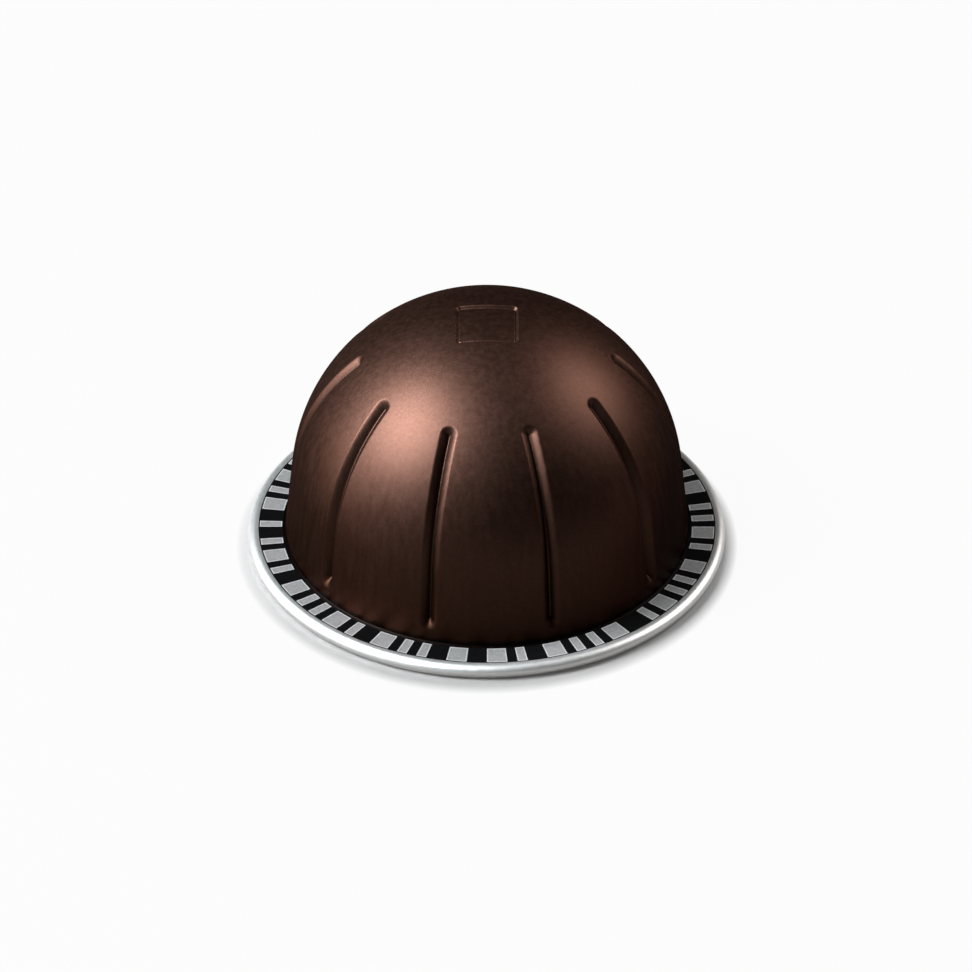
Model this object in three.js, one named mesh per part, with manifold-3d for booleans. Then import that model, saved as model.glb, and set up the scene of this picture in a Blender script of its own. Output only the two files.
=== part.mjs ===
// A domed coffee pod: a drawn aluminium capsule, sealed full of coffee, and the foil lid under it.
// Millimetres, +Z up. The dome's axis is Z, its foot is the rolled rim, which rests on z = 0.
// The capsule and its contents are one closed solid: a revolved profile that ends in the curled
// edge, with ten swept flutes pressed into the dome and a square panel pressed into its crown.
import * as THREE from "three";
import { mergeVertices } from "three/addons/utils/BufferGeometryUtils.js";
import Module from "manifold-3d";

// Overall sizes. The height is the dome's, before the panel is pressed into its crown.
const RIM_RADIUS = 30.5;
const DOME_HEIGHT = 34.2;

// Metal thicknesses
const SHEET = 0.35;
const FOIL = 0.1;

// The rolled rim: a curl with a narrow flat underneath, and a free edge tucked in below the flange
const CURL_RADIUS = 0.96;
const CURL_FOOT_WIDTH = 0.4;
const CURL_END_GAP = 0.25;

// The dome: a spherical cap over a wall that widens towards the flange
const DOME_RADIUS = 25;
const WALL_DRAFT_DEG = 5.5;
const WALL_FILLET = 0.35;

// The flutes, each swept by a round tool from near the flange to high on the dome
const FLUTE_COUNT = 10;
const FLUTE_FIRST_DEG = 19;
const FLUTE_TOOL_RADIUS = 1.25;
const FLUTE_DEPTH_LOW = 0.8;
const FLUTE_DEPTH_HIGH = 0.65;
const FLUTE_FLANGE_GAP = 3.15;
const FLUTE_TOP_DEG = 48.4;

// The bare panel on the crown, which follows the dome at a shallow depth
const PANEL_SIDE = 7.7;
const PANEL_CORNER = 0.5;
const PANEL_DEPTH = 0.25;

// The foil lid, which stops short of the curl
const FOIL_EDGE_GAP = 0.25;

// How finely the curves are faceted
const TURN_SEGMENTS = 80;
const CAP_STEPS = 12;
const CURL_STEP_DEG = 30;
const FILLET_STEPS = 2;
const FLUTE_STEPS = 12;
const FLUTE_SIDES = 12;
const PANEL_FLOOR_STEPS = 4;

// Places that follow from the sizes above
const CURL_CENTRE_R = RIM_RADIUS - CURL_RADIUS;
const CURL_CENTRE_Z = Math.sqrt(CURL_RADIUS ** 2 - (CURL_FOOT_WIDTH / 2) ** 2);
const FLANGE_TOP = CURL_CENTRE_Z + CURL_RADIUS;
const FLANGE_UNDERSIDE = FLANGE_TOP - SHEET;
const CURL_END_RISE = Math.asin((CURL_RADIUS - SHEET - CURL_END_GAP) / CURL_RADIUS);
const CURL_END_DEG = -180 - THREE.MathUtils.radToDeg(CURL_END_RISE);
const DOME_CENTRE_Z = DOME_HEIGHT - DOME_RADIUS;
const DRAFT = THREE.MathUtils.degToRad(WALL_DRAFT_DEG);
const WALL_TOP = new THREE.Vector2(
  DOME_RADIUS * Math.cos(DRAFT),
  DOME_CENTRE_Z + DOME_RADIUS * Math.sin(DRAFT),
);

const BROWN_LACQUER = new THREE.MeshStandardMaterial({
  color: 0x5a3a2e,
  metalness: 0.9,
  roughness: 0.35,
});
const BARE_FOIL = new THREE.MeshStandardMaterial({
  color: 0xc8c8ca,
  metalness: 1,
  roughness: 0.3,
});

const wasm = await Module();
wasm.setup();

// A closed three.js geometry as a solid that can be joined and cut.
function solidFrom(geometry) {
  const bare = geometry.clone();
  bare.deleteAttribute("normal");
  bare.deleteAttribute("uv");
  const merged = mergeVertices(bare, 1e-4);
  return new wasm.Manifold(
    new wasm.Mesh({
      numProp: 3,
      vertProperties: merged.attributes.position.array,
      triVerts: new Uint32Array(merged.index.array),
    }),
  );
}

// A solid as a three.js geometry again.
function geometryFrom(solid) {
  const mesh = solid.getMesh();
  const geometry = new THREE.BufferGeometry();
  geometry.setAttribute("position", new THREE.BufferAttribute(mesh.vertProperties, 3));
  geometry.setIndex(new THREE.BufferAttribute(mesh.triVerts, 1));
  return geometry;
}

// Points on an arc in the profile plane, from one angle to another in degrees, both included.
function arc(centre, radius, fromDeg, toDeg, steps) {
  const points = [];
  for (let i = 0; i <= steps; i++) {
    const angle = THREE.MathUtils.degToRad(fromDeg + ((toDeg - fromDeg) * i) / steps);
    const x = centre.x + radius * Math.cos(angle);
    const y = centre.y + radius * Math.sin(angle);
    points.push(new THREE.Vector2(x, y));
  }
  return points;
}

// An arc of the curl, with as many steps as its length needs.
function curlArc(radius, fromDeg, toDeg) {
  const steps = Math.max(1, Math.ceil(Math.abs(toDeg - fromDeg) / CURL_STEP_DEG));
  const centre = new THREE.Vector2(CURL_CENTRE_R, CURL_CENTRE_Z);
  return arc(centre, radius, fromDeg, toDeg, steps);
}

// A profile of radius and height, turned about Z. It starts and ends on the axis.
function revolve(profile) {
  const geometry = new THREE.LatheGeometry(profile, TURN_SEGMENTS);
  return geometry.rotateX(Math.PI / 2);
}

// The wall's radius at a height, below the spherical cap.
function wallRadius(z) {
  return WALL_TOP.x + (WALL_TOP.y - z) * Math.tan(DRAFT);
}

// The fillet between the flange and the wall, from the flange up.
function wallFillet() {
  const z = FLANGE_TOP + WALL_FILLET;
  const r = wallRadius(z) + WALL_FILLET / Math.cos(DRAFT);
  const centre = new THREE.Vector2(r, z);
  return arc(centre, WALL_FILLET, 270, 180 + WALL_DRAFT_DEG, FILLET_STEPS);
}

// The capsule's section: its underside, the curl round to its free edge and back, and the dome.
function capsuleProfile() {
  const footDeg = THREE.MathUtils.radToDeg(Math.asin(CURL_FOOT_WIDTH / 2 / CURL_RADIUS));
  const domeCentre = new THREE.Vector2(0, DOME_CENTRE_Z);
  const cap = arc(domeCentre, DOME_RADIUS, WALL_DRAFT_DEG, 90, CAP_STEPS);
  cap[CAP_STEPS].x = 0;
  return [
    new THREE.Vector2(0, FLANGE_UNDERSIDE),
    ...curlArc(CURL_RADIUS - SHEET, 90, CURL_END_DEG),
    ...curlArc(CURL_RADIUS, CURL_END_DEG, -90 - footDeg),
    ...curlArc(CURL_RADIUS, -90 + footDeg, 90),
    ...wallFillet(),
    ...cap,
  ];
}

// The line that a flute's tool centre follows up the wall and the cap, in the XZ plane.
class FlutePath extends THREE.Curve {
  constructor() {
    super();
    const lowZ = FLANGE_TOP + FLUTE_FLANGE_GAP;
    const capAngle = Math.asin((lowZ - DOME_CENTRE_Z) / DOME_RADIUS);
    this.low = new THREE.Vector2(wallRadius(lowZ), lowZ);
    this.wallLength = lowZ < WALL_TOP.y ? this.low.distanceTo(WALL_TOP) : 0;
    this.capStart = Math.max(DRAFT, capAngle);
    this.topAngle = THREE.MathUtils.degToRad(FLUTE_TOP_DEG);
    this.length = this.wallLength + DOME_RADIUS * (this.topAngle - this.capStart);
  }

  getPoint(t, target = new THREE.Vector3()) {
    const along = t * this.length;
    const depth = THREE.MathUtils.lerp(FLUTE_DEPTH_LOW, FLUTE_DEPTH_HIGH, t);
    const outward = FLUTE_TOOL_RADIUS - depth;
    if (along < this.wallLength) {
      const on = this.low.clone().lerp(WALL_TOP, along / this.wallLength);
      return target.set(on.x + outward * Math.cos(DRAFT), 0, on.y + outward * Math.sin(DRAFT));
    }
    const angle = this.capStart + (along - this.wallLength) / DOME_RADIUS;
    const reach = DOME_RADIUS + outward;
    return target.set(reach * Math.cos(angle), 0, DOME_CENTRE_Z + reach * Math.sin(angle));
  }
}

// The tool's sweep: a round bar along the path with a ball at each end.
function fluteCutter() {
  const path = new FlutePath();
  const section = new THREE.Shape();
  section.absarc(0, 0, FLUTE_TOOL_RADIUS, 0, 2 * Math.PI);
  const bar = new THREE.ExtrudeGeometry(section, {
    extrudePath: path,
    steps: FLUTE_STEPS,
    curveSegments: FLUTE_SIDES / 2,
  });
  let cutter = solidFrom(bar);
  for (const end of [0, 1]) {
    const ball = new THREE.SphereGeometry(FLUTE_TOOL_RADIUS, FLUTE_SIDES, FLUTE_SIDES / 2);
    ball.rotateX(Math.PI / 2);
    ball.translate(...path.getPoint(end).toArray());
    cutter = cutter.add(solidFrom(ball));
  }
  return cutter;
}

// A square with rounded corners, centred on the axis.
function panelOutline() {
  const half = PANEL_SIDE / 2;
  const straight = half - PANEL_CORNER;
  const outline = new THREE.Shape();
  outline.absarc(straight, straight, PANEL_CORNER, 0, Math.PI / 2);
  outline.absarc(-straight, straight, PANEL_CORNER, Math.PI / 2, Math.PI);
  outline.absarc(-straight, -straight, PANEL_CORNER, Math.PI, 1.5 * Math.PI);
  outline.absarc(straight, -straight, PANEL_CORNER, 1.5 * Math.PI, 2 * Math.PI);
  return outline;
}

// What the panel takes out of the crown: a square prism above a floor that follows the dome.
function panelCutter() {
  const floorRadius = DOME_RADIUS - PANEL_DEPTH;
  const reach = PANEL_SIDE;
  const lowDeg = THREE.MathUtils.radToDeg(Math.acos(reach / floorRadius));
  const centre = new THREE.Vector2(0, DOME_CENTRE_Z);
  const floor = arc(centre, floorRadius, lowDeg, 90, PANEL_FLOOR_STEPS);
  floor[PANEL_FLOOR_STEPS].x = 0;
  const under = new THREE.Vector2(0, floor[0].y - PANEL_SIDE);
  const side = new THREE.Vector2(reach, floor[0].y - PANEL_SIDE);
  const core = solidFrom(revolve([under, side, ...floor]));
  const prism = new THREE.ExtrudeGeometry(panelOutline(), {
    depth: PANEL_SIDE,
    bevelEnabled: false,
    curveSegments: 3,
  });
  prism.translate(0, 0, floor[0].y);
  return solidFrom(prism).subtract(core);
}

// The capsule: the revolved sheet with its contents, less the flutes and the panel.
function capsuleBody() {
  let body = solidFrom(revolve(capsuleProfile()));
  const flute = fluteCutter();
  for (let i = 0; i < FLUTE_COUNT; i++) {
    // The front is -Y, and a flute's angle is counted from there towards +X.
    const turn = FLUTE_FIRST_DEG - 90 + (i * 360) / FLUTE_COUNT;
    body = body.subtract(flute.rotate([0, 0, turn]));
  }
  body = body.subtract(panelCutter());
  const mesh = new THREE.Mesh(geometryFrom(body), BROWN_LACQUER);
  mesh.name = "capsule_body";
  return mesh;
}

// The lid: a flat disc sealed to the flange's underside, inside the curl.
function foilLid() {
  const radius = CURL_CENTRE_R - CURL_RADIUS - FOIL_EDGE_GAP;
  const geometry = new THREE.CylinderGeometry(radius, radius, FOIL, TURN_SEGMENTS);
  geometry.rotateX(Math.PI / 2);
  const mesh = new THREE.Mesh(geometry, BARE_FOIL);
  mesh.name = "foil_lid";
  mesh.position.z = FLANGE_UNDERSIDE - FOIL / 2;
  return mesh;
}

const pod = new THREE.Group();
pod.add(capsuleBody(), foilLid());

export default pod;
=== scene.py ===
import math

import bmesh
import bpy
import numpy as np
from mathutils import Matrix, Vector


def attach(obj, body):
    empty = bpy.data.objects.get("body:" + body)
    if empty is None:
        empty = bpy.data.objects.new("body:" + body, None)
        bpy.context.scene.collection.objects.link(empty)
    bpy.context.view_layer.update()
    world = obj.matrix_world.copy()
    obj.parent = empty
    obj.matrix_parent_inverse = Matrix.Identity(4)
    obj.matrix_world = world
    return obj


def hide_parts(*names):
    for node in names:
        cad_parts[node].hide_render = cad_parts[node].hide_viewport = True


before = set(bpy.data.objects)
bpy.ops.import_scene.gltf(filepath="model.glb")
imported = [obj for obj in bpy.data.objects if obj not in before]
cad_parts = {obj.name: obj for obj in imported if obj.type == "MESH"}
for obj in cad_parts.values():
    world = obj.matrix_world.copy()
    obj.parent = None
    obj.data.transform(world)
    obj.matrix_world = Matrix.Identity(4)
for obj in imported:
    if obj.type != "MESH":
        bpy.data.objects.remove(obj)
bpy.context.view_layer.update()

MM = 0.001

# Sizes of the pod, in millimetres, with the rim a hair inside the solids' facets
RIM_RADIUS = 30.495
DOME_HEIGHT = 34.2
CURL_RADIUS = 0.96
CURL_FOOT_WIDTH = 0.4
CURL_END_GAP = 0.25
SHEET = 0.35
DOME_RADIUS = 25.0
DRAFT = math.radians(5.5)
WALL_FILLET = 0.35
FLANGE_INNER = 24.4
SKIRT = 1.5
SUNK = 0.1

# The flutes and the crown panel, pressed a little deeper than in the solids
FLUTE_COUNT = 10
FLUTE_FIRST_DEG = 19.0
FLUTE_DEPTH_LOW = 1.0
FLUTE_DEPTH_HIGH = 0.82
FLUTE_FLANGE_GAP = 3.15
FLUTE_TOP = math.radians(48.4)
FLUTE_HALF_WIDTH = 1.15
FLUTE_FLOOR = 0.05
FLUTE_CURVE = 1.5
FLUTE_RUN_OUT = 0.75
PANEL_SIDE = 7.7
PANEL_CORNER = 0.5
PANEL_DEPTH = 0.3
PANEL_WALL = 0.15
PANEL_GROOVE = 0.13
PANEL_OUTSIDE = 0.35
PANEL_INSIDE = -0.45

# Distances between the dome's mesh lines: at large, then half the width and the step of each fine zone
DOME_STEP_DEG = 1.15
FLUTE_ZONE_DEG = (4.4, 0.3)
CORNER_ZONE_DEG = (7.0, 0.5)
CROWN_EDGE = math.radians(72)

# The printed ring: black, with bars of bare metal whose borders carry a painted highlight in near-white
CODE_MODULES = 140
CODE_INNER = 26.22
CODE_OUTER = 29.08
PRINT_OUTER = 29.24
BAR_EDGE = 0.15
BAR_EDGE_RADIUS = 27.8
PRINT_DIP = 0.02

# The foil lid, flat at its seal and slightly wavy inside it
LID = 0.1
LID_GAP = 0.25
LID_SEAL_RADIUS = 25.4
LID_STEP_DEG = 1.5
LID_WAVES = 14
LID_SAG = 0.1
LID_WAVE_HEIGHT = 0.12
LID_FADE = 3.0

CURL_R = RIM_RADIUS - CURL_RADIUS
CURL_Z = math.sqrt(CURL_RADIUS ** 2 - (CURL_FOOT_WIDTH / 2) ** 2)
FLANGE_TOP = CURL_Z + CURL_RADIUS
FLANGE_UNDER = FLANGE_TOP - SHEET
DOME_Z = DOME_HEIGHT - DOME_RADIUS
WALL_TOP_R = DOME_RADIUS * math.cos(DRAFT)
WALL_TOP_Z = DOME_Z + DOME_RADIUS * math.sin(DRAFT)
FLUTE_LOW_Z = FLANGE_TOP + FLUTE_FLANGE_GAP

# The floor's own white, in metres from the pod's axis: weak at the rim, full a little outside it. This
# paints a darker ring round the rim, shifted towards the front, which adds painted shadow to the real
# shadow that shows there
FLOOR_REACH = 4.0
FLOOR_OWN_WHITE = 0.95
FLOOR_FADE = (0.22, 0.45)
SHADOW_OWN_WHITE = 0.05
SHADOW_ZONE = (0.0304, 0.0321)
SHADOW_SHIFT = (0.0, 0.0012, 0.0)

# The photograph's view: its size and the place of the pod's origin in it, in pixels
PIXELS = 972
PIXELS_PER_MM = 7.81
ORIGIN_X = 487.0
ORIGIN_Y = 538.6
ELEVATION = math.radians(36)
CAMERA_DISTANCE = 2.1
SENSOR = 36


def wall_radius(z):
    return WALL_TOP_R + (WALL_TOP_Z - z) * math.tan(DRAFT)


FOOT_Z = FLANGE_TOP + WALL_FILLET
FOOT_R = wall_radius(FOOT_Z) + WALL_FILLET / math.cos(DRAFT)


# Meshes


def grid_mesh(name, rings, closed_ends=False, materials=(), pick=None):
    """Rings of points, each ring an (n, 3) array in millimetres, joined into one surface."""
    n = len(rings[0])
    points = [tuple(p) for p in np.concatenate(rings) * MM]
    faces = []
    kinds = []
    for k in range(len(rings) - 1):
        a = k * n
        b = a + n
        for i in range(n):
            j = (i + 1) % n
            faces.append((a + i, a + j, b + j, b + i))
            kinds.append(pick(k, i) if pick else 0)
    if closed_ends:
        low = len(points)
        top = low + 1
        last = (len(rings) - 1) * n
        points.append(tuple(np.mean(rings[0], axis=0) * MM))
        points.append(tuple(np.mean(rings[-1], axis=0) * MM))
        faces += [(low, (i + 1) % n, i) for i in range(n)]
        faces += [(top, last + i, last + (i + 1) % n) for i in range(n)]
        kinds += [0] * (2 * n)
    mesh = bpy.data.meshes.new(name)
    mesh.from_pydata(points, [], faces)
    for material in materials:
        mesh.materials.append(material)
    mesh.polygons.foreach_set("material_index", kinds)
    mesh.polygons.foreach_set("use_smooth", [True] * len(faces))
    mesh.update()
    piece = bpy.data.objects.new(name, mesh)
    bpy.context.scene.collection.objects.link(piece)
    return piece


def weld(piece):
    bm = bmesh.new()
    bm.from_mesh(piece.data)
    bmesh.ops.remove_doubles(bm, verts=bm.verts, dist=1e-7)
    bmesh.ops.recalc_face_normals(bm, faces=bm.faces)
    bm.to_mesh(piece.data)
    bm.free()


def ring(radius, height, angles):
    """A ring of points. An angle is counted from the front, -Y, towards +X."""
    r = np.broadcast_to(radius, angles.shape)
    z = np.broadcast_to(height, angles.shape)
    return np.stack([r * np.sin(angles), -r * np.cos(angles), z], axis=1)


def smoothstep(x):
    t = np.clip(x, 0.0, 1.0)
    return t * t * (3 - 2 * t)


def arc_points(cr, cz, radius, start, end, steps):
    angles = np.radians(np.linspace(start, end, steps + 1))
    return [(cr + radius * math.cos(a), cz + radius * math.sin(a)) for a in angles]


# Materials


def nodes_of(name):
    material = bpy.data.materials.new(name)
    material.use_nodes = True
    tree = material.node_tree
    return material, tree, tree.nodes["Principled BSDF"]


def place(tree):
    """The point's place on the piece, in metres."""
    return tree.nodes.new("ShaderNodeTexCoord").outputs["Object"]


def noise(tree, scale, detail=3.0, rough=0.6, stretch=None):
    node = tree.nodes.new("ShaderNodeTexNoise")
    node.inputs["Scale"].default_value = scale
    node.inputs["Detail"].default_value = detail
    node.inputs["Roughness"].default_value = rough
    source = place(tree)
    if stretch:
        mapping = tree.nodes.new("ShaderNodeMapping")
        mapping.inputs["Scale"].default_value = stretch
        tree.links.new(source, mapping.inputs["Vector"])
        source = mapping.outputs["Vector"]
    tree.links.new(source, node.inputs["Vector"])
    return node.outputs["Fac"]


def spread(tree, value, low, high, start=0.3, stop=0.7):
    """A value between start and stop, brought to between low and high."""
    node = tree.nodes.new("ShaderNodeMapRange")
    node.inputs["From Min"].default_value = start
    node.inputs["From Max"].default_value = stop
    node.inputs["To Min"].default_value = low
    node.inputs["To Max"].default_value = high
    tree.links.new(value, node.inputs["Value"])
    return node.outputs["Result"]


def ramp(tree, value, stops):
    """Colours by value, from (position, colour) stops in rising order."""
    node = tree.nodes.new("ShaderNodeValToRGB")
    elements = node.color_ramp.elements
    elements[0].position, elements[1].position = stops[0][0], stops[-1][0]
    elements[0].color, elements[1].color = (*stops[0][1], 1), (*stops[-1][1], 1)
    for position, colour in stops[1:-1]:
        elements.new(position).color = (*colour, 1)
    tree.links.new(value, node.inputs["Fac"])
    return node.outputs["Color"]


def tint(tree, value, dark, light):
    return ramp(tree, value, [(0.3, dark), (0.7, light)])


def times(tree, first, second):
    """Two colours multiplied."""
    node = tree.nodes.new("ShaderNodeMix")
    node.data_type = "RGBA"
    node.blend_type = "MULTIPLY"
    node.inputs["Factor"].default_value = 1.0
    tree.links.new(first, node.inputs["A"])
    tree.links.new(second, node.inputs["B"])
    return node.outputs["Result"]


def joined(tree, operation, first, second):
    """Two numbers joined by a Math node."""
    node = tree.nodes.new("ShaderNodeMath")
    node.operation = operation
    tree.links.new(first, node.inputs[0])
    tree.links.new(second, node.inputs[1])
    return node.outputs["Value"]


def bump(tree, shader, value, strength, distance=0.00002):
    node = tree.nodes.new("ShaderNodeBump")
    node.inputs["Strength"].default_value = strength
    node.inputs["Distance"].default_value = distance
    tree.links.new(value, node.inputs["Height"])
    tree.links.new(node.outputs["Normal"], shader.inputs["Normal"])


def brown_lacquer():
    """Metallic lacquer with a fine flake and drawn lines up the wall, and painted shade that darkens it
    towards the foot.
    """
    material, tree, shader = nodes_of("brown_lacquer")
    flake = noise(tree, 3200)
    drawn = noise(tree, 1500, detail=2.0, rough=0.5, stretch=(1, 1, 0.05))
    split = tree.nodes.new("ShaderNodeSeparateXYZ")
    tree.links.new(place(tree), split.inputs["Vector"])
    # Height up the wall, which sets the painted shade
    height = spread(tree, split.outputs["Z"], 0.0, 1.0, start=0.0022, stop=0.028)
    colour = tint(tree, flake, (0.0375, 0.0175, 0.0128), (0.0495, 0.0238, 0.0178))
    # Painted shade: the colour falls to near black at the foot and rises to full by about 28 mm up
    painted_foot_shade = [(0.0, (0.04, 0.035, 0.03)), (0.025, (0.38, 0.31, 0.24)), (1.0, (1, 1, 1))]
    colour = times(tree, colour, ramp(tree, height, painted_foot_shade))
    colour = times(tree, colour, tint(tree, drawn, (0.88, 0.85, 0.79), (1.07, 1.05, 1.03)))
    tree.links.new(colour, shader.inputs["Base Color"])
    tree.links.new(spread(tree, drawn, 0.45, 0.5), shader.inputs["Roughness"])
    shader.inputs["Metallic"].default_value = 1.0
    shader.inputs["Specular Tint"].default_value = (0.07, 0.09, 0.09, 1)
    shader.inputs["Coat Weight"].default_value = 0.03
    shader.inputs["Coat Roughness"].default_value = 0.42
    bump(tree, shader, flake, 0.1)
    return material


def bare_metal(name, dark, light, roughness, grain, metallic=1.0, relief=0.05):
    material, tree, shader = nodes_of(name)
    speckle = noise(tree, grain)
    tree.links.new(tint(tree, speckle, dark, light), shader.inputs["Base Color"])
    rough = spread(tree, speckle, roughness - 0.03, roughness + 0.03)
    tree.links.new(rough, shader.inputs["Roughness"])
    shader.inputs["Metallic"].default_value = metallic
    bump(tree, shader, speckle, relief)
    return material


def black_print():
    material, tree, shader = nodes_of("black_print")
    speckle = noise(tree, 2600)
    colour = tint(tree, speckle, (0.002, 0.002, 0.0025), (0.005, 0.005, 0.0055))
    tree.links.new(colour, shader.inputs["Base Color"])
    tree.links.new(spread(tree, speckle, 0.5, 0.65), shader.inputs["Roughness"])
    shader.inputs["Specular IOR Level"].default_value = 0.04
    bump(tree, shader, speckle, 0.1)
    return material


LACQUER = brown_lacquer()
RIM_METAL = bare_metal("bare_rim", (0.44, 0.43, 0.42), (0.47, 0.46, 0.45), 0.47, 2200, relief=0.02)
BAR_METAL = bare_metal("bare_bar", (0.5, 0.5, 0.5), (0.66, 0.66, 0.66), 0.45, 2600, metallic=0.5)
# Painted highlight: near-white colour on the bars' borders, where light catches their edges
EDGE_HIGHLIGHT_METAL = bare_metal("bar_edge_highlight", (0.95, 0.95, 0.95), (1.0, 1.0, 1.0), 0.45, 3000, metallic=0.6)
INK = black_print()
FOIL_METAL = bare_metal("lid_foil", (0.76, 0.76, 0.77), (0.83, 0.83, 0.84), 0.24, 900)


# The dome


def dome_angles():
    """Angles round the dome, closest at the flutes and at the panel's corners."""
    zones = [(FLUTE_FIRST_DEG + i * 360 / FLUTE_COUNT, *FLUTE_ZONE_DEG) for i in range(FLUTE_COUNT)]
    zones += [(45 + 90 * i, *CORNER_ZONE_DEG) for i in range(4)]
    angles = [0.0]
    while angles[-1] < 360:
        a = angles[-1]
        step = DOME_STEP_DEG
        for centre, half, fine in zones:
            outside = max(0.0, abs((a - centre + 180) % 360 - 180) - half)
            step = min(step, fine + outside * 0.5)
        angles.append(a + step)
    return np.radians(np.array(angles[:-1]) * 360 / angles[-1])


def base_line():
    """The dome's section above the fillet, as rows of radius, height and outward slope."""
    wall = np.concatenate([
        np.linspace(FOOT_Z, FLUTE_LOW_Z - 1.5, 5, endpoint=False),
        np.linspace(FLUTE_LOW_Z - 1.5, FLUTE_LOW_Z + 0.8, 19, endpoint=False),
        np.linspace(FLUTE_LOW_Z + 0.8, WALL_TOP_Z, 10, endpoint=False),
    ])
    rows = [(wall_radius(z), z, DRAFT) for z in wall]
    top_start = FLUTE_TOP - 0.02
    top_end = FLUTE_TOP + FLUTE_HALF_WIDTH / DOME_RADIUS + 0.01
    cap = np.concatenate([
        np.linspace(DRAFT, top_start, 28, endpoint=False),
        np.linspace(top_start, top_end, 17, endpoint=False),
        np.linspace(top_end, CROWN_EDGE, 11),
    ])
    rows += [(DOME_RADIUS * math.cos(a), DOME_Z + DOME_RADIUS * math.sin(a), a) for a in cap]
    return rows


def along(z, slope):
    """Distance up the section from the flutes' lower end."""
    if slope <= DRAFT:
        return (z - FLUTE_LOW_Z) / math.cos(DRAFT)
    return (WALL_TOP_Z - FLUTE_LOW_Z) / math.cos(DRAFT) + DOME_RADIUS * (slope - DRAFT)


FLUTE_LENGTH = along(0, FLUTE_TOP)


def flute_depth(radius, s, angles):
    """How far the surface is pressed in at each angle of one ring."""
    pitch = 2 * math.pi / FLUTE_COUNT
    off = (angles - math.radians(FLUTE_FIRST_DEG) + pitch / 2) % pitch - pitch / 2
    past = max(0.0, -FLUTE_RUN_OUT * s, s - FLUTE_LENGTH)
    away = np.hypot(off * radius, past)
    up = min(1.0, max(0.0, s / FLUTE_LENGTH))
    depth = FLUTE_DEPTH_LOW + (FLUTE_DEPTH_HIGH - FLUTE_DEPTH_LOW) * up
    across = np.clip((away - FLUTE_FLOOR) / (FLUTE_HALF_WIDTH - FLUTE_FLOOR), 0, 1)
    return depth * (1 - across) ** FLUTE_CURVE


def square_radius(angles, offset):
    """Distance from the axis to the panel's outline, moved outwards by an offset."""
    half = PANEL_SIDE / 2 + offset
    corner = max(0.02, PANEL_CORNER + offset)
    a = (angles + math.pi / 4) % (math.pi / 2) - math.pi / 4
    flat = half / np.cos(a)
    inner = half - corner
    turn = math.pi / 4 - np.abs(a)
    reach = inner * math.sqrt(2)
    under = np.maximum(corner ** 2 - (reach * np.sin(turn)) ** 2, 0)
    bend = reach * np.cos(turn) + np.sqrt(under)
    edge = math.atan2(inner, half)
    return np.where(np.abs(a) <= edge, flat, bend)


def crown_rings(angles):
    """Rings from the plain dome in to its axis, which follow the panel's outline."""
    outer = DOME_RADIUS * math.cos(CROWN_EDGE)
    outline = square_radius(angles, PANEL_OUTSIDE)
    rings = []
    for k in range(1, 7):
        share = k / 7
        rings.append((outer * (1 - share) + outline * share, 0.0))
    for step in np.linspace(PANEL_OUTSIDE, PANEL_INSIDE, 25):
        pressed = PANEL_DEPTH * (1 - float(smoothstep((step / PANEL_WALL + 1) / 2)))
        pressed += PANEL_GROOVE * math.exp(-((step + 0.5 * PANEL_WALL) / PANEL_WALL) ** 2)
        rings.append((square_radius(angles, step), pressed))
    inside = square_radius(angles, PANEL_INSIDE)
    for share in (0.86, 0.7, 0.54, 0.38, 0.22, 0.08):
        rings.append((inside * share, PANEL_DEPTH))
    made = []
    for radius, pressed in rings:
        slope = np.arccos(np.clip(radius / DOME_RADIUS, 0, 1))
        reach = DOME_RADIUS - pressed
        made.append(ring(reach * np.cos(slope), DOME_Z + reach * np.sin(slope), angles))
    return made


def make_dome():
    angles = dome_angles()
    fillet = arc_points(FOOT_R, FOOT_Z, WALL_FILLET, 270, 180 + math.degrees(DRAFT), 6)[:-1]
    section = [(FOOT_R - SKIRT, FLANGE_UNDER + SUNK), (FOOT_R, FLANGE_TOP - SUNK), *fillet]
    rings = [ring(r, z, angles) for r, z in section]
    for r, z, slope in base_line():
        pressed = flute_depth(r, along(z, slope), angles)
        rings.append(ring(r - pressed * math.cos(slope), z - pressed * math.sin(slope), angles))
    rings += crown_rings(angles)
    return grid_mesh("dome", rings, closed_ends=True, materials=[LACQUER])


# The flange, the rolled rim and the print

RIM_MATERIALS = [RIM_METAL, INK, BAR_METAL, EDGE_HIGHLIGHT_METAL]
PLAIN, PRINT, BAR, EDGE_HIGHLIGHT = range(len(RIM_MATERIALS))


def code_bars():
    """The ring's modules: True is bare metal. The run lengths come from a formula, and say nothing."""
    modules = []
    k = 0
    while len(modules) < CODE_MODULES:
        bare = 2 if (k * k + 3 * k) % 5 < 2 else 1
        black = 1 + (k * 7 + k * k // 3) % 3 % 2 + (1 if (k * 5) % 11 == 3 else 0)
        modules += [True] * bare + [False] * black
        k += 1
    return modules[:CODE_MODULES - 1] + [False]


def ring_columns():
    """Angles round the rim, four to a module, and what fills the print after each of them."""
    modules = code_bars()
    pitch = 2 * math.pi / CODE_MODULES
    edge = BAR_EDGE / BAR_EDGE_RADIUS
    angles = []
    columns = []
    for i, bare in enumerate(modules):
        start = i * pitch
        angles += [start, start + edge, start + pitch / 2, start + pitch - edge]
        before = BAR if modules[i - 1] else EDGE_HIGHLIGHT
        after = BAR if modules[(i + 1) % CODE_MODULES] else EDGE_HIGHLIGHT
        columns += [before, BAR, BAR, after] if bare else [PRINT] * 4
    return np.array(angles), columns


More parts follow.
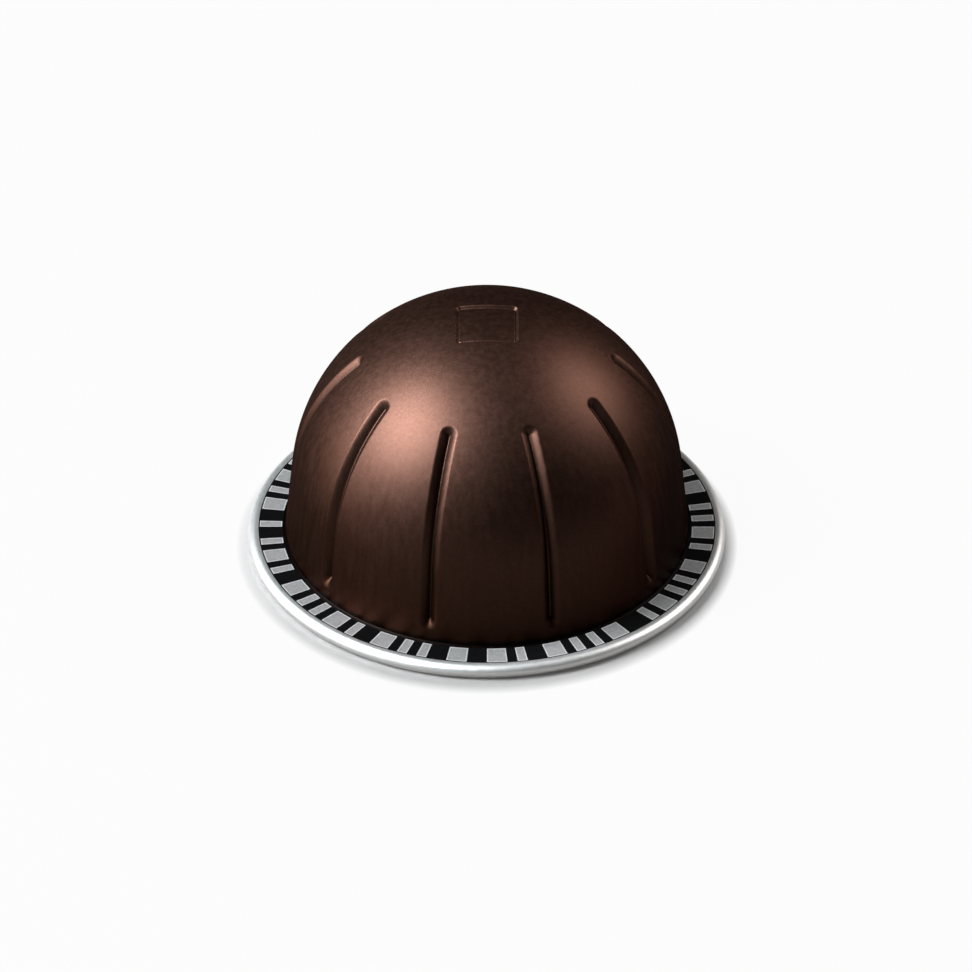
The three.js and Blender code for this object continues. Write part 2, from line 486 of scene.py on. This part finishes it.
def make_rim():
    angles, columns = ring_columns()
    foot = math.degrees(math.asin(CURL_FOOT_WIDTH / 2 / CURL_RADIUS))
    rise = math.asin((CURL_RADIUS - SHEET - CURL_END_GAP) / CURL_RADIUS)
    end = -180 - math.degrees(rise)
    print_radii = (CODE_INNER, CODE_INNER + BAR_EDGE, CODE_OUTER - BAR_EDGE, CODE_OUTER, PRINT_OUTER)
    bands = (PRINT, EDGE_HIGHLIGHT, BAR, EDGE_HIGHLIGHT, PRINT)
    profile = [(FLANGE_INNER, FLANGE_TOP - PRINT_DIP)]
    profile += [(r, FLANGE_TOP) for r in print_radii]
    profile += arc_points(CURL_R, CURL_Z, CURL_RADIUS, 90, -90 + foot, 14)
    profile += arc_points(CURL_R, CURL_Z, CURL_RADIUS, -90 - foot, end, 8)
    profile += arc_points(CURL_R, CURL_Z, CURL_RADIUS - SHEET, end, 90, 16)
    profile += [(FLANGE_INNER, FLANGE_UNDER)]
    rings = [ring(r, z, angles) for r, z in profile]
    rings.append(rings[0])

    def pick(band, column):
        if band >= len(bands):
            return PLAIN
        if PRINT in (bands[band], columns[column]):
            return PRINT
        return EDGE_HIGHLIGHT if bands[band] == EDGE_HIGHLIGHT else columns[column]

    return grid_mesh("rolled_rim", rings, materials=RIM_MATERIALS, pick=pick)


# The foil lid


def lid_waves():
    """Waves of the foil: how many radians to the millimetre, which way they run, and their start."""
    rng = np.random.default_rng(7)
    turn = 2 * math.pi
    return [(rng.uniform(0.15, 0.9), rng.uniform(0, turn), rng.uniform(0, turn)) for _ in range(LID_WAVES)]


def make_lid():
    angles = np.radians(np.arange(0, 360, LID_STEP_DEG))
    top = FLANGE_UNDER
    low = FLANGE_UNDER - LID
    edge = CURL_R - CURL_RADIUS - LID_GAP
    waves = lid_waves()
    rings = [ring(edge * share, top, angles) for share in (0.02, 0.35, 0.7, 1.0)]
    rings.append(ring(edge, low, angles))
    seal = np.linspace(edge - 0.5, LID_SEAL_RADIUS, 6)
    sheet = np.linspace(LID_SEAL_RADIUS - 0.4, 0.6, 50)
    for r in np.concatenate([seal, sheet]):
        x = r * np.sin(angles)
        y = -r * np.cos(angles)
        dent = sum(np.sin(w * (x * math.cos(t) + y * math.sin(t)) + p) for w, t, p in waves) / LID_WAVES
        fade = smoothstep((LID_SEAL_RADIUS - r) / LID_FADE)
        rings.append(ring(r, low - fade * (LID_SAG + LID_WAVE_HEIGHT * dent), angles))
    return grid_mesh("lid_membrane", rings, closed_ends=True, materials=[FOIL_METAL])


dome = make_dome()
rim = make_rim()
lid = make_lid()
for piece in (dome, rim, lid):
    weld(piece)
    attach(piece, "root")
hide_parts("capsule_body")
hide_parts("capsule_body")
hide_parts("foil_lid")
# Keeps the edge of the lamps' shade smooth across the dome's facets
dome.shadow_terminator_geometry_offset = 0.1
dome.shadow_terminator_shading_offset = 0.2


# The stage, the lights and the camera


def floor_white(tree):
    """The share of the floor's white that is its own, for eye, metal and glass alike."""
    path = tree.nodes.new("ShaderNodeLightPath")
    seen = path.outputs["Is Camera Ray"]
    for other in ("Is Glossy Ray", "Is Transmission Ray"):
        seen = joined(tree, "MAXIMUM", seen, path.outputs[other])
    shift = tree.nodes.new("ShaderNodeVectorMath")
    shift.inputs[1].default_value = SHADOW_SHIFT
    tree.links.new(place(tree), shift.inputs[0])
    away = tree.nodes.new("ShaderNodeVectorMath")
    away.operation = "LENGTH"
    tree.links.new(shift.outputs["Vector"], away.inputs[0])
    # Painted shadow: near the rim the floor loses its own white, so a darker ring shows there whether or
    # not the pod shades it, along with the real shadow
    real_and_painted_contact_shadow = spread(tree, away.outputs["Value"], SHADOW_OWN_WHITE, 1.0, *SHADOW_ZONE)
    far = spread(tree, away.outputs["Value"], FLOOR_OWN_WHITE, 0.0, *FLOOR_FADE)
    return joined(tree, "MULTIPLY", joined(tree, "MULTIPLY", seen, real_and_painted_contact_shadow), far)


def make_floor():
    r = FLOOR_REACH
    mesh = bpy.data.meshes.new("floor")
    mesh.from_pydata([(-r, -r, 0), (r, -r, 0), (r, r, 0), (-r, r, 0)], [], [(0, 1, 2, 3)])
    floor = bpy.data.objects.new("floor", mesh)
    bpy.context.scene.collection.objects.link(floor)
    material, tree, shader = nodes_of("floor")
    shader.inputs["Base Color"].default_value = (0.68, 0.68, 0.68, 1)
    shader.inputs["Roughness"].default_value = 0.9
    shader.inputs["Specular IOR Level"].default_value = 0.1
    glow = tree.nodes.new("ShaderNodeEmission")
    glow.inputs["Color"].default_value = (1, 1, 1, 1)
    mix = tree.nodes.new("ShaderNodeMixShader")
    tree.links.new(floor_white(tree), mix.inputs["Fac"])
    tree.links.new(shader.outputs["BSDF"], mix.inputs[1])
    tree.links.new(glow.outputs["Emission"], mix.inputs[2])
    tree.links.new(mix.outputs["Shader"], tree.nodes["Material Output"].inputs["Surface"])
    mesh.materials.append(material)


def softbox(name, direction, width, height, radiance, colour=(1, 1, 1), distance=0.9):
    """An area lamp that faces the pod, from a direction, with a given radiance."""
    lamp = bpy.data.lights.new(name, "AREA")
    lamp.shape = "RECTANGLE"
    lamp.size = width
    lamp.size_y = height
    lamp.energy = radiance * math.pi * width * height
    lamp.color = colour
    light = bpy.data.objects.new(name, lamp)
    away = Vector(direction).normalized() * distance
    light.location = away + Vector((0, 0, 0.015))
    light.rotation_euler = (-away).to_track_quat("-Z", "Y").to_euler()
    bpy.context.scene.collection.objects.link(light)
    return light


def card(*args, **more):
    """A bright panel for the metal to reflect, which lights no matt surface."""
    softbox(*args, **more).visible_diffuse = False


def make_world(grey):
    world = bpy.data.worlds.new("world")
    world.use_nodes = True
    background = world.node_tree.nodes["Background"]
    background.inputs["Color"].default_value = (grey, grey, grey, 1)
    background.inputs["Strength"].default_value = 1.0
    bpy.context.scene.world = world


def make_camera():
    """From the front and above, with a long lens, aimed at the point in the middle of the picture."""
    data = bpy.data.cameras.new("camera")
    camera = bpy.data.objects.new("camera", data)
    bpy.context.scene.collection.objects.link(camera)
    ray = Vector((0, -math.cos(ELEVATION), math.sin(ELEVATION)))
    up = Vector((0, math.sin(ELEVATION), math.cos(ELEVATION)))
    rise = (ORIGIN_Y - PIXELS / 2) / PIXELS_PER_MM * MM
    side = (PIXELS / 2 - ORIGIN_X) / PIXELS_PER_MM * MM
    aim = up * rise + Vector((side, 0, 0))
    camera.location = aim + ray * CAMERA_DISTANCE
    camera.rotation_euler = ray.to_track_quat("Z", "Y").to_euler()
    data.sensor_width = SENSOR
    data.sensor_fit = "HORIZONTAL"
    data.lens = SENSOR * CAMERA_DISTANCE / (PIXELS / PIXELS_PER_MM * MM)
    data.clip_start = 0.01
    data.clip_end = 50
    bpy.context.scene.camera = camera


make_floor()
softbox("key", (-0.66, -0.15, 0.73), 0.42, 0.42, 12.0)
softbox("right", (0.68, 0.39, 0.62), 0.3, 0.3, 7.0)
card("key_card", (-0.72, -0.16, 0.67), 0.6, 0.6, 40.0, colour=(0.92, 1.02, 1.08))
card("right_card", (0.7, 0.25, 0.54), 0.5, 0.5, 10.5)
card("left_card", (-0.97, 0.05, 0.14), 0.5, 0.26, 12.0)
make_world(0.05)
make_camera()
bpy.context.scene.view_settings.view_transform = "Standard"
